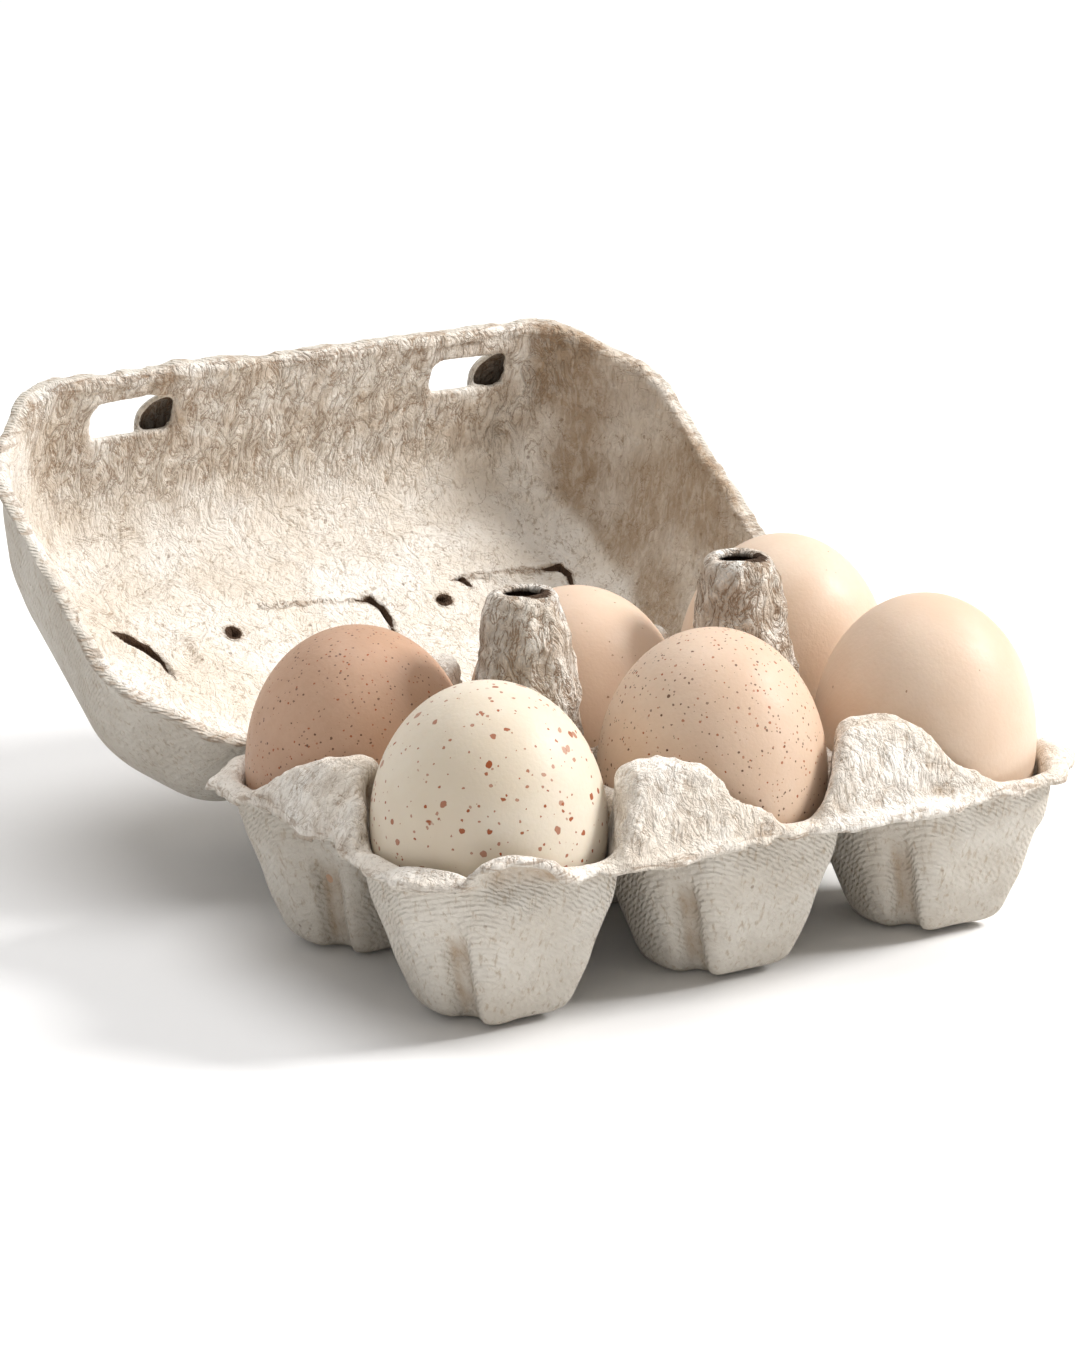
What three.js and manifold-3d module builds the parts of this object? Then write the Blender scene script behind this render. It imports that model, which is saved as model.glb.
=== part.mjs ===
// Moulded-pulp egg carton for six eggs: a tray of six cups, a hinged lid and the eggs it holds.
// Millimetres, +Z up, +X along the carton's length, +Y towards the hinge.
import * as THREE from 'three';
import { mergeVertices } from 'three/addons/utils/BufferGeometryUtils.js';
import Module from 'manifold-3d';

const wasm = await Module();
wasm.setup();

// Driving dimensions.
const wall = 1.9;
const gap = 0.3;
const pitchX = 49.5;
const pitchY = 49;
const rimTop = 34;
const rimHalfLength = 77;
const rimFront = -51;
const rimBack = 50.2;
const rimChamfer = 13;
const postTop = 71;
const humpTop = 47;
const endHumpTop = 45;
const ridgeTop = 38.5;
const openAngle = THREE.MathUtils.degToRad(146);

// Cup outline: height above the table and half width, from the foot to the rim.
const cupProfile = [[0, 12.2], [1.2, 14.2], [4, 16.4], [12, 20], [24, 23.4], [rimTop - 0.1, 24.4]];
const cupFloor = wall;
const cupSegments = 24;

// Hinge and lid, given as they are when the lid is shut.
const hinge = { y: 51.3, z: rimTop + 0.2, radius: 0.8, halfLength: 58 };
const lid = { halfLength: 80.5, front: -50.6, back: rimBack, base: rimTop + 0.4 };
const lidCorner = { alongX: 18, alongY: 21 };
const lidProfile = [[0, 0], [12, 2.6], [24, 6.2], [32, 10.2], [36.6, 14.4], [39, 20]];
const window = { left: -38.5, right: 43.5, width: 19, low: 40.6, high: 48.8 };
const recess = { y: -5, width: 26, depth: 13, shallow: 0.8 };
const vent = { x: 26, y: -7, radius: 2 };

// The six eggs: cup column and row, height, largest radius, height of the lower end, how blunt the top is.
const eggTable = [
  ['egg_brown_speckled', -1, 0.5, 57, 22, 5.1, 0.05, 0xc99b78],
  ['egg_cream_blotched', -1, -0.5, 57.3, 22.1, 5.2, 0.07, 0xebdcbe],
  ['egg_tan_speckled', 0, -0.5, 59.6, 22.1, 5.7, 0.05, 0xe1b991],
  ['egg_light_plain', 1, -0.5, 59.3, 21.9, 5.7, 0.03, 0xe6c8a5],
  ['egg_peach_plain', 0, 0.5, 57.6, 21.8, 5.2, 0.03, 0xe4c3a5],
  ['egg_pale_plain', 1, 0.5, 60.2, 21.6, 6.6, 0.03, 0xebcdaa],
];

const pulp = (colour) => new THREE.MeshStandardMaterial({ color: colour, roughness: 0.95, metalness: 0 });
const shell = (colour) => new THREE.MeshStandardMaterial({ color: colour, roughness: 0.45, metalness: 0 });
const trayPulp = 0xcdc6ba;
const innerPulp = 0xdcd2c2;

const carton = new THREE.Group();
const tray = new THREE.Group();
const lidGroup = new THREE.Group();
carton.add(tray, lidGroup);

function addPart(group, name, geometry, material) {
  const mesh = new THREE.Mesh(geometry, material);
  mesh.name = name;
  group.add(mesh);
  return mesh;
}

// Geometry from a list of points and a list of triangles.
function indexed(points, faces) {
  const geometry = new THREE.BufferGeometry();
  geometry.setAttribute('position', new THREE.Float32BufferAttribute(points.flat(), 3));
  geometry.setIndex(faces.flat());
  geometry.computeVertexNormals();
  return geometry;
}

// A solid swept through rings of equal length, capped on its first and last ring.
function loft(rings) {
  const count = rings[0].length;
  const faces = [];
  for (let r = 0; r < rings.length - 1; r += 1) {
    for (let i = 0; i < count; i += 1) {
      const a = r * count + i;
      const b = r * count + ((i + 1) % count);
      faces.push([a, b, b + count], [a, b + count, a + count]);
    }
  }
  const last = (rings.length - 1) * count;
  for (let i = 1; i < count - 1; i += 1) {
    faces.push([0, i + 1, i], [last, last + i, last + i + 1]);
  }
  return indexed(rings.flat(), faces);
}

// A sheet with real thickness between two grids of points, one for each face.
function thickSheet(outer, inner) {
  const rows = outer.length;
  const columns = outer[0].length;
  const total = rows * columns;
  const at = (row, column, side) => side * total + row * columns + column;
  const faces = [];
  const quad = (a, b, c, d) => faces.push([a, b, c], [a, c, d]);
  for (let r = 0; r < rows - 1; r += 1) {
    for (let c = 0; c < columns - 1; c += 1) {
      quad(at(r, c, 0), at(r, c + 1, 0), at(r + 1, c + 1, 0), at(r + 1, c, 0));
      quad(at(r, c, 1), at(r + 1, c, 1), at(r + 1, c + 1, 1), at(r, c + 1, 1));
    }
    quad(at(r, 0, 1), at(r, 0, 0), at(r + 1, 0, 0), at(r + 1, 0, 1));
    quad(at(r, columns - 1, 0), at(r, columns - 1, 1), at(r + 1, columns - 1, 1), at(r + 1, columns - 1, 0));
  }
  for (let c = 0; c < columns - 1; c += 1) {
    quad(at(0, c, 1), at(0, c + 1, 1), at(0, c + 1, 0), at(0, c, 0));
    quad(at(rows - 1, c, 0), at(rows - 1, c + 1, 0), at(rows - 1, c + 1, 1), at(rows - 1, c, 1));
  }
  return indexed([...outer.flat(), ...inner.flat()], faces);
}

function toManifold(geometry) {
  const bare = geometry.clone();
  bare.deleteAttribute('normal');
  bare.deleteAttribute('uv');
  const welded = mergeVertices(bare, 1e-4);
  const index = welded.index.array;
  return new wasm.Manifold(new wasm.Mesh({
    numProp: 3,
    vertProperties: new Float32Array(welded.attributes.position.array),
    triVerts: new Uint32Array(index),
  }));
}

function fromManifold(solid) {
  const mesh = solid.getMesh();
  const geometry = new THREE.BufferGeometry();
  geometry.setAttribute('position', new THREE.BufferAttribute(mesh.vertProperties, 3));
  geometry.setIndex(new THREE.BufferAttribute(mesh.triVerts, 1));
  geometry.computeVertexNormals();
  return geometry;
}

function block(sizeX, sizeY, sizeZ, x, y, z) {
  return toManifold(new THREE.BoxGeometry(sizeX, sizeY, sizeZ).translate(x, y, z));
}

// Rounded-square ring about a point: rounder at the foot, squarer at the rim.
function roundedRing(x, y, z, half, squareness) {
  const ring = [];
  for (let i = 0; i < cupSegments; i += 1) {
    const angle = (i / cupSegments) * Math.PI * 2;
    const c = Math.cos(angle);
    const s = Math.sin(angle);
    const reach = (Math.abs(c) ** squareness + Math.abs(s) ** squareness) ** (-1 / squareness);
    ring.push([x + half * reach * c, y + half * reach * s, z]);
  }
  return ring;
}

const squarenessAt = (z) => 2.3 + 0.7 * (z / rimTop);

function cupGeometry(x, y) {
  const outside = cupProfile.map(([z, half]) => roundedRing(x, y, z, half, squarenessAt(z)));
  const inside = cupProfile.slice(2).reverse()
    .map(([z, half]) => roundedRing(x, y, z, half - wall, squarenessAt(z)));
  inside.push(roundedRing(x, y, cupFloor, cupProfile[1][1] - wall, squarenessAt(cupFloor)));
  return loft([...outside, ...inside]);
}

// Eight-cornered outline with cut corners, counter-clockwise from the front left.
function cutRectangle(left, right, front, back, cutX, cutY) {
  return [
    [left + cutX, front], [right - cutX, front], [right, front + cutY], [right, back - cutY],
    [right - cutX, back], [left + cutX, back], [left, back - cutY], [left, front + cutY],
  ];
}

function polygonShape(points) {
  return new THREE.Shape(points.map(([x, y]) => new THREE.Vector2(x, y)));
}

function rimFlange() {
  const outline = cutRectangle(-rimHalfLength, rimHalfLength, rimFront, rimBack, rimChamfer, rimChamfer);
  const plate = new THREE.ExtrudeGeometry(polygonShape(outline), { depth: wall, bevelEnabled: false });
  let ring = toManifold(plate.translate(0, 0, rimTop - wall));
  const holeHalf = cupProfile.at(-1)[1] + gap;
  for (const column of [-1, 0, 1]) {
    for (const row of [-0.5, 0.5]) {
      const squareness = squarenessAt(rimTop);
      const low = roundedRing(column * pitchX, row * pitchY, rimTop - 2 * wall, holeHalf, squareness);
      const high = low.map(([x, y]) => [x, y, rimTop + wall]);
      ring = ring.subtract(toManifold(loft([low, high])));
    }
  }
  // The middle is left out: the posts and ridges cover it. Thin webs between cups go too.
  ring = ring.subtract(block(2 * pitchX, pitchY, 4 * wall, 0, 0, rimTop));
  for (const x of [-pitchX / 2, pitchX / 2]) {
    ring = ring.subtract(block(2, 2 * (pitchY / 2 + 18), 4 * wall, x, 0, rimTop));
  }
  ring = ring.subtract(block(2 * (pitchX + 18), 2, 4 * wall, 0, 0, rimTop));
  return fromManifold(ring);
}

// Hollow tapered post, open below and with a hole in its top.
function postGeometry(x) {
  const outside = [[11.9, rimTop + gap], [11.2, 41], [10, 51], [8.2, 62], [7, 69.4], [6.2, postTop]];
  const inside = [[3.2, postTop], [3.4, postTop - 1.6], [5.6, 66], [8.1, 51], [10, rimTop + gap]];
  const profile = [...outside, ...inside, outside[0]].map(([r, z]) => new THREE.Vector2(r, z));
  const lathe = new THREE.LatheGeometry(profile, cupSegments);
  return lathe.rotateX(Math.PI / 2).translate(x, 0, 0);
}

// Hollow hump that stands on the rim between two cups: a pyramid cut flat, leaning inwards.
function humpGeometry(top) {
  const foot = [[-17, 0], [17, 0], [11.8, 4.3], [2.8, 10.7], [-2.8, 10.7], [-11.8, 4.3]];
  const hollow = [[-14, 1], [14, 1], [11.2, 3.4], [2.4, 9.6], [-2.4, 9.6], [-11.2, 3.4]];
  const ring = (corners, scale, shift, z) => corners.map(([x, y]) => [scale * x, shift + scale * y, z]);
  const low = rimTop + gap;
  return loft([
    ring(hollow, 0.3, 4.4, top - wall), ring(hollow, 1, 0, low),
    ring(foot, 1, 0, low), ring(foot, 0.4, 3.9, top),
  ]);
}

// Low ridge with a roof-shaped section that joins a post to a hump or to the other post.
function ridgeGeometry(length) {
  const section = polygonShape([[-1.7, 0], [1.7, 0], [1.5, 2.4], [0.5, ridgeTop - rimTop - gap], [-0.5,
    ridgeTop - rimTop - gap], [-1.5, 2.4]]);
  const bar = new THREE.ExtrudeGeometry(section, { depth: length, bevelEnabled: false });
  return bar.rotateX(Math.PI / 2).translate(0, length, rimTop + gap);
}

function buildTray() {
  const columns = [['left', -1], ['middle', 0], ['right', 1]];
  const rows = [['front', -0.5], ['back', 0.5]];
  for (const [rowName, row] of rows) {
    for (const [columnName, column] of columns) {
      const cup = cupGeometry(column * pitchX, row * pitchY);
      addPart(tray, `cup_${rowName}_${columnName}`, cup, pulp(trayPulp));
    }
  }
  addPart(tray, 'rim_flange', rimFlange(), pulp(trayPulp));
  const postReach = 12.2;
  const humpReach = 10.8;
  for (const [side, sign] of [['left', -1], ['right', 1]]) {
    const x = sign * pitchX / 2;
    addPart(tray, `post_${side}`, postGeometry(x), pulp(innerPulp));
    const front = addPart(tray, `hump_front_${side}`, humpGeometry(humpTop), pulp(innerPulp));
    front.position.set(x, -47.9, 0);
    const back = addPart(tray, `hump_back_${side}`, humpGeometry(humpTop), pulp(innerPulp));
    back.position.set(x, 47.4, 0);
    back.rotation.z = Math.PI;
    const end = addPart(tray, `hump_end_${side}`, humpGeometry(endHumpTop), pulp(innerPulp));
    end.position.set(sign * 74, 0, 0);
    end.rotation.z = sign * Math.PI / 2;
    const frontRidge = ridgeGeometry(47.9 - humpReach - postReach);
    addPart(tray, `ridge_front_${side}`, frontRidge, pulp(innerPulp)).position.set(x, -47.9 + humpReach, 0);
    const backRidge = ridgeGeometry(47.4 - humpReach - postReach);
    addPart(tray, `ridge_back_${side}`, backRidge, pulp(innerPulp)).position.set(x, postReach, 0);
    const endLength = 74 - humpReach - postReach - pitchX / 2;
    const endRidge = addPart(tray, `ridge_end_${side}`, ridgeGeometry(endLength), pulp(innerPulp));
    endRidge.position.set(sign * (pitchX / 2 + postReach), 0, 0);
    endRidge.rotation.z = -sign * Math.PI / 2;
  }
  const middleRidge = addPart(tray, 'ridge_middle', ridgeGeometry(pitchX - 2 * postReach), pulp(innerPulp));
  middleRidge.position.set(-pitchX / 2 + postReach, 0, 0);
  middleRidge.rotation.z = -Math.PI / 2;
  const crease = new THREE.CylinderGeometry(hinge.radius, hinge.radius, 2 * hinge.halfLength, 12);
  crease.rotateZ(Math.PI / 2);
  addPart(tray, 'hinge_crease', crease, pulp(trayPulp)).position.set(0, hinge.y, hinge.z);
}

// Corners of the lid at one level of its profile; the inner face is set in by the wall.
function lidRing(depth, inset) {
  const cut = 1 - 0.006 * depth;
  const outline = cutRectangle(-lid.halfLength + inset, lid.halfLength - inset, lid.front + inset,
    lid.back - inset, lidCorner.alongX * cut, lidCorner.alongY * cut);
  return outline.map(([x, y]) => [x, y, lid.base + depth]);
}

const lidOuter = lidProfile.map(([depth, inset]) => lidRing(depth, inset));
const lidInner = lidProfile.map(([depth, inset], i) => lidRing(depth, inset + wall + 0.12 * i));

// One side of the lid: the strip between two neighbouring corners, kept clear of the next strip.
function lidSide(corner) {
  const next = (corner + 1) % 8;
  const trimmed = (ring) => {
    const a = new THREE.Vector3(...ring[corner]);
    const b = new THREE.Vector3(...ring[next]);
    const along = b.clone().sub(a).setLength(gap);
    return [a.add(along).toArray(), b.sub(along).toArray()];
  };
  return thickSheet(lidOuter.map(trimmed), lidInner.map(trimmed));
}

function lidFront() {
  let panel = toManifold(lidSide(0));
  for (const x of [window.left, window.right]) {
    const height = window.high - window.low;
    panel = panel.subtract(block(window.width, 30, height, x, lid.front, window.low + height / 2));
  }
  return fromManifold(panel);
}

// Flat top of the lid, with three shallow pockets and two vent holes between them.
function lidRoof() {
  const outline = lidInner.at(-1).map(([x, y]) => [x - Math.sign(x) * gap, y - Math.sign(y) * gap]);
  const shape = polygonShape(outline);
  for (const x of [-vent.x, vent.x]) {
    shape.holes.push(new THREE.Path().absarc(x, vent.y, vent.radius, 0, Math.PI * 2, true));
  }
  const plate = new THREE.ExtrudeGeometry(shape, { depth: wall, bevelEnabled: false, curveSegments: 8 });
  const top = lid.base + lidProfile.at(-1)[0];
  let roof = toManifold(plate.translate(0, 0, top - wall));
  for (const x of [-pitchX, 0, pitchX]) {
    roof = roof.subtract(block(recess.width, recess.depth, 2 * recess.shallow, x, recess.y, top - wall));
  }
  return fromManifold(roof);
}

// Curved lip on the outer side of a window, where the punched pulp is pushed outwards.
function windowLip() {
  const half = (window.high - window.low) / 2;
  const profile = polygonShape([[0, 0], [4.6, 0], [4.2, -1.2], [2.6, -2.6], [0.6, -3.4], [0, -2.2]]);
  const lip = new THREE.ExtrudeGeometry(profile, { depth: 2 * half, bevelEnabled: false });
  return lip.translate(0, 0, -half);
}

function buildLid() {
  const names = ['front_wall', 'corner_front_right', 'end_right', 'corner_back_right', 'back_wall',
    'corner_back_left', 'end_left', 'corner_front_left'];
  names.forEach((name, corner) => {
    const geometry = corner === 0 ? lidFront() : lidSide(corner);
    addPart(lidGroup, `lid_${name}`, geometry, pulp(innerPulp));
  });
  addPart(lidGroup, 'lid_roof', lidRoof(), pulp(innerPulp));
  for (const side of ['left', 'right']) {
    const lip = addPart(lidGroup, `window_lip_${side}`, windowLip(), pulp(trayPulp));
    lip.position.set(window[side] + window.width / 2 - 2, lid.front + 1.9, (window.low + window.high) / 2);
    lip.rotation.x = -Math.atan2(lidProfile[1][1], lidProfile[1][0]);
  }
  // Everything above is the shut lid; turn it back about the hinge to the open angle.
  for (const part of lidGroup.children) {
    part.position.y -= hinge.y;
    part.position.z -= hinge.z;
  }
  lidGroup.position.set(0, hinge.y, hinge.z);
  lidGroup.rotation.x = -openAngle;
}

// Egg profile turned about its long axis; a positive bluntness makes the upper end the fuller one.
function eggGeometry(height, radius, bluntness) {
  const steps = 16;
  const profile = [];
  for (let i = 0; i <= steps; i += 1) {
    const t = -Math.cos((i / steps) * Math.PI);
    const r = Math.sqrt(Math.max(0, 1 - t * t)) * (1 + bluntness * t) * radius / (1 + bluntness ** 2 / 2);
    profile.push(new THREE.Vector2(r, ((t + 1) / 2) * height));
  }
  return new THREE.LatheGeometry(profile, cupSegments).rotateX(Math.PI / 2);
}

function buildEggs() {
  for (const [name, column, row, height, radius, bottom, bluntness, colour] of eggTable) {
    const egg = addPart(carton, name, eggGeometry(height, radius, bluntness), shell(colour));
    egg.position.set(column * pitchX, row * pitchY, bottom);
  }
}

buildTray();
buildLid();
buildEggs();

// The origin is the bottom centre of the open carton's box.
carton.updateMatrixWorld(true);
const box = new THREE.Box3().setFromObject(carton, true);
carton.position.y = -(box.min.y + box.max.y) / 2;
carton.position.x = -(box.min.x + box.max.x) / 2;
carton.updateMatrixWorld(true);

export default carton;
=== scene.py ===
import math

import bpy
import numpy as np
import openvdb
from mathutils import Euler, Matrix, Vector


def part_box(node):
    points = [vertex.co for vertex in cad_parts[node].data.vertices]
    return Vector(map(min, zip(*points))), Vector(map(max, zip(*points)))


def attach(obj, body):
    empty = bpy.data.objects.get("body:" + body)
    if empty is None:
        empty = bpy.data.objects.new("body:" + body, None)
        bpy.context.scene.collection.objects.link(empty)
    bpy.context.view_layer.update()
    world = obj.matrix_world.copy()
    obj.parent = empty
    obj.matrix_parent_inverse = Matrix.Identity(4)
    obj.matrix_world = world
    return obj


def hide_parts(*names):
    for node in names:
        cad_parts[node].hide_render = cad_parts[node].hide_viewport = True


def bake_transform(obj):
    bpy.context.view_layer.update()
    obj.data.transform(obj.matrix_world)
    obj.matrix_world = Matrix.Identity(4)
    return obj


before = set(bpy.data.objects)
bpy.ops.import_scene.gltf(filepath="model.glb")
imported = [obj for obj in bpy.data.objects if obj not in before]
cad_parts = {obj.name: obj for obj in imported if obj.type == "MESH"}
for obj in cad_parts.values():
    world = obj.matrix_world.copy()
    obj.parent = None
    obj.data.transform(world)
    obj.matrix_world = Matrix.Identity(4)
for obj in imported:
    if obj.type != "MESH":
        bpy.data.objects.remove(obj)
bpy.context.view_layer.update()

# ---------------------------------------------------------------------------------------------
# The table top and the studio. The open carton stands on a plain white sweep, seen from its
# front left corner a little above the rim. A large soft lamp stands high on the right.
# ---------------------------------------------------------------------------------------------
MM = 0.001


def middle(node):
    """Middle of a CAD node's box, in millimetres."""
    low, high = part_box(node)
    return np.array([(a + b) / 2 for a, b in zip(low, high)]) / MM


cup_front = middle("cup_front_middle")
cup_back = middle("cup_back_middle")
tray_middle = np.array([0.0, (cup_front[1] + cup_back[1]) / 2, 0.0])
view_azimuth, view_height, view_roll = -31.29, 15.62, -0.55
view_distance = 929.87
view_target = tray_middle + np.array([-23.18, 0.0, 54.33])

turn, rise = math.radians(view_azimuth), math.radians(view_height)
towards_eye = Vector((math.sin(turn) * math.cos(rise), -math.cos(turn) * math.cos(rise), math.sin(rise)))
camera_data = bpy.data.cameras.new("studio_camera")
camera_data.lens = 129.9
camera_data.sensor_width = 36
camera_data.clip_start, camera_data.clip_end = 0.05, 20
camera = bpy.data.objects.new("studio_camera", camera_data)
bpy.context.scene.collection.objects.link(camera)
camera.location = Vector(view_target * MM) + towards_eye * view_distance * MM
camera.rotation_mode = "QUATERNION"
level = (-towards_eye).to_track_quat("-Z", "Y")
camera.rotation_quaternion = level @ Euler((0, 0, math.radians(view_roll))).to_quaternion()
bpy.context.scene.camera = camera

FLOOR_FRONT, FLOOR_SIDE, SWEEP_START, SWEEP_RADIUS, SWEEP_TOP = -4.0, 5.0, 1.6, 0.6, 3.5
SWEEP_STEPS = 12
floor_mesh = bpy.data.meshes.new("studio_floor")
rows = []
for step in range(SWEEP_STEPS + 1):
    bend = math.radians(90 * step / SWEEP_STEPS)
    rows.append((SWEEP_START + SWEEP_RADIUS * math.sin(bend), SWEEP_RADIUS - SWEEP_RADIUS * math.cos(bend)))
rows = [(FLOOR_FRONT, 0.0)] + rows + [(SWEEP_START + SWEEP_RADIUS, SWEEP_TOP)]
floor_points = [(x, y, z) for y, z in rows for x in (-FLOOR_SIDE, FLOOR_SIDE)]
floor_faces = [(2 * i, 2 * i + 1, 2 * i + 3, 2 * i + 2) for i in range(len(rows) - 1)]
floor_mesh.from_pydata(floor_points, [], floor_faces)
floor_mesh.shade_smooth()
floor = bpy.data.objects.new("studio_floor", floor_mesh)
bpy.context.scene.collection.objects.link(floor)
paper = bpy.data.materials.new("studio_paper")
paper.use_nodes = True
paper_shader = paper.node_tree.nodes["Principled BSDF"]
paper_shader.inputs["Base Color"].default_value = (0.93, 0.93, 0.93, 1)
paper_shader.inputs["Roughness"].default_value = 0.9
paper_shader.inputs["Specular IOR Level"].default_value = 0.1
floor_mesh.materials.append(paper)

world = bpy.data.worlds.new("studio_air")
world.use_nodes = True
world.node_tree.nodes["Background"].inputs["Color"].default_value = (1.0, 0.99, 0.98, 1)
world.node_tree.nodes["Background"].inputs["Strength"].default_value = 0.29
bpy.context.scene.world = world
bpy.context.scene.view_settings.view_transform = "Standard"


def soft_lamp(name, place, aim, size, power, colour):
    """A round lamp at place that faces aim; size in metres, power in watts."""
    lamp = bpy.data.lights.new(name, "AREA")
    lamp.shape = "DISK"
    lamp.size = size
    lamp.energy = power
    lamp.color = colour
    obj = bpy.data.objects.new(name, lamp)
    bpy.context.scene.collection.objects.link(obj)
    obj.location = place
    obj.rotation_euler = (Vector(aim) - Vector(place)).to_track_quat("-Z", "Y").to_euler()


soft_lamp("key_lamp", (1.1, -0.5, 0.95), (0, 0, 0.04), 0.5, 26.5, (1.0, 0.985, 0.97))
soft_lamp("top_lamp", (0.2, 0.6, 2.6), (0, 0.1, 0.0), 2.4, 44, (1.0, 0.99, 0.985))
soft_lamp("fill_lamp", (-1.2, -1.3, 0.6), (0, 0, 0.03), 1.2, 2.4, (1.0, 0.95, 0.89))

# ---------------------------------------------------------------------------------------------
# The tray: one wall of grey moulded paper pulp, drawn by suction onto a wire screen mould and
# dried. Six cups hang from its rim, and two hollow posts and six humps stand up between them.
# ---------------------------------------------------------------------------------------------
WALL = 1.9
RIM_TOP = 34.0
PITCH = np.array([49.5, 49.0])
CUP_HALF = [(0, 12.2), (1.2, 14.2), (4, 16.4), (12, 20.0), (24, 23.4), (33.9, 24.4), (75, 26.4)]
POST_RADIUS = [(30, 12.1), (34.3, 11.7), (41, 11.0), (51, 9.9), (62, 8.4), (69.4, 7.2), (71, 6.6)]
POST_TOP = 71.0
POST_HOLE, BORE_FOOT = 3.7, 58
RIDGE_TOP = 38.0
LIP = dict(half_length=77.0, front=-51.0, back=50.2, chamfer=13.0)


def smooth_min(a, b, blend):
    share = np.clip(0.5 + 0.5 * (b - a) / blend, 0, 1)
    return b + (a - b) * share - blend * share * (1 - share)


def smooth_max(a, b, blend):
    return -smooth_min(-a, -b, blend)


def fade(value, low, high):
    """0 below low, 1 above high, and a smooth step between them."""
    t = np.clip((value - low) / (high - low), 0, 1)
    return t * t * (3 - 2 * t)


def along_profile(profile, z):
    """Smoothed reading of a (height, size) profile."""
    heights = np.arange(profile[0][0] - 6, profile[-1][0] + 6, 0.5)
    sizes = np.interp(heights, [p[0] for p in profile], [p[1] for p in profile])
    soft = np.convolve(np.pad(sizes, 3, mode="edge"), [0.08, 0.14, 0.18, 0.2, 0.18, 0.14, 0.08], "valid")
    return np.interp(z, heights, soft)


def block_of_air(low, high, step):
    """Coordinates of a grid of points, as three arrays that spread against one another."""
    axes = [np.arange(a, b, step, dtype=np.float32) for a, b in zip(low, high)]
    return axes[0][:, None, None], axes[1][None, :, None], axes[2][None, None, :]


NOISE_REACH = 2.6  # brings the evened random lumps back to about -1 to 1


def spline_weights(t):
    return [
        (1 - t) ** 3 / 6, (3 * t**3 - 6 * t**2 + 4) / 6,
        (-3 * t**3 + 3 * t**2 + 3 * t + 1) / 6, t**3 / 6,
    ]


def pulp_noise(points, spacing, seed):
    """Smooth random relief at points in mm, about -1 to 1, with lumps as large as spacing."""
    place = points / np.asarray(spacing, float) + 1000.0
    cell = np.floor(place).astype(np.int64)
    weights = [spline_weights(place[:, axis] - cell[:, axis]) for axis in range(3)]
    total = np.zeros(len(points))
    for i in range(4):
        for j in range(4):
            for k in range(4):
                key = (cell[:, 0] + i) * 73856093 ^ (cell[:, 1] + j) * 19349663
                key = key ^ (cell[:, 2] + k) * 83492791
                key = (key + seed * 2654435761) & 0xFFFFFFFF
                key = ((key ^ (key >> 15)) * 2246822519) & 0xFFFFFFFF
                key = ((key ^ (key >> 13)) * 3266489917) & 0xFFFFFFFF
                lump = (key ^ (key >> 16)) / 2147483648.0 - 1
                total += lump * weights[0][i] * weights[1][j] * weights[2][k]
    return total * NOISE_REACH


def grid_noise(air, spacing, seed):
    """The same kind of relief on a whole block of air, for large slow bends."""
    counts = [a.size for a in air]
    starts = [float(a.flat[0]) for a in air]
    step = float(air[0].flat[1] - air[0].flat[0])
    rng = np.random.default_rng(seed)
    out = rng.uniform(-1, 1, [int(n * step / s) + 6 for n, s in zip(counts, spacing)]).astype(np.float32)
    for axis in range(3):
        place = np.arange(counts[axis]) * step / spacing[axis] + (starts[axis] / spacing[axis]) % 1
        cell = np.floor(place).astype(int)
        shape = [1, 1, 1]
        shape[axis] = -1
        parts = [
            np.take(out, cell + k, axis=axis) * w.reshape(shape).astype(np.float32)
            for k, w in enumerate(spline_weights(place - cell))
        ]
        out = sum(parts)
    return out * NOISE_REACH


def even_distance(field, step):
    """Turns a field that is zero on a surface into a distance from that surface."""
    slope = np.gradient(field, step)
    return field / np.clip(np.sqrt(slope[0] ** 2 + slope[1] ** 2 + slope[2] ** 2), 0.3, 2.0)


def skin(solid, low, step):
    """Points and four-sided faces of the surface where solid is zero."""
    grid = openvdb.FloatGrid(4 * step)
    grid.copyFromArray(np.clip(solid, -3 * step, 3 * step).astype(np.float32))
    points, faces = grid.convertToQuads(isovalue=0.0)
    return points.astype(float) * step + np.array(low, float), faces.astype(np.int64)


def read_at(field, low, step, points):
    """Value of a gridded field at points."""
    place = (points - np.array(low)) / step
    cell = np.clip(np.floor(place).astype(int), 0, np.array(field.shape) - 2)
    part = np.clip(place - cell, 0, 1)
    total = np.zeros(len(points))
    for i in (0, 1):
        for j in (0, 1):
            for k in (0, 1):
                weight = (
                    np.where(i, part[:, 0], 1 - part[:, 0])
                    * np.where(j, part[:, 1], 1 - part[:, 1])
                    * np.where(k, part[:, 2], 1 - part[:, 2])
                )
                total += weight * field[cell[:, 0] + i, cell[:, 1] + j, cell[:, 2] + k]
    return total


def point_normals(points, faces):
    a, b, c, d = (points[faces[:, i]] for i in range(4))
    across = np.cross(c - a, d - b)
    normals = np.zeros_like(points)
    for i in range(4):
        np.add.at(normals, faces[:, i], across)
    return normals / np.maximum(np.linalg.norm(normals, axis=1, keepdims=True), 1e-9)


def relax(points, faces, rounds, share=0.5):
    """Evens out the small steps that the grid leaves."""
    edges = np.concatenate([faces[:, [i, (i + 1) % 4]] for i in range(4)])
    count = np.bincount(edges.ravel(), minlength=len(points))[:, None]
    for _ in range(rounds):
        total = np.zeros_like(points)
        np.add.at(total, edges[:, 0], points[edges[:, 1]])
        np.add.at(total, edges[:, 1], points[edges[:, 0]])
        points = points + share * (total / np.maximum(count, 1) - points)
    return points


def recess(points, faces, normals, rounds, depth):
    """How deep each point lies in a fold or hollow of the sheet, from 0 to 1."""
    evened = relax(points, faces, rounds)
    return np.clip(((evened - points) * normals).sum(1) / depth, 0, 1)


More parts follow.
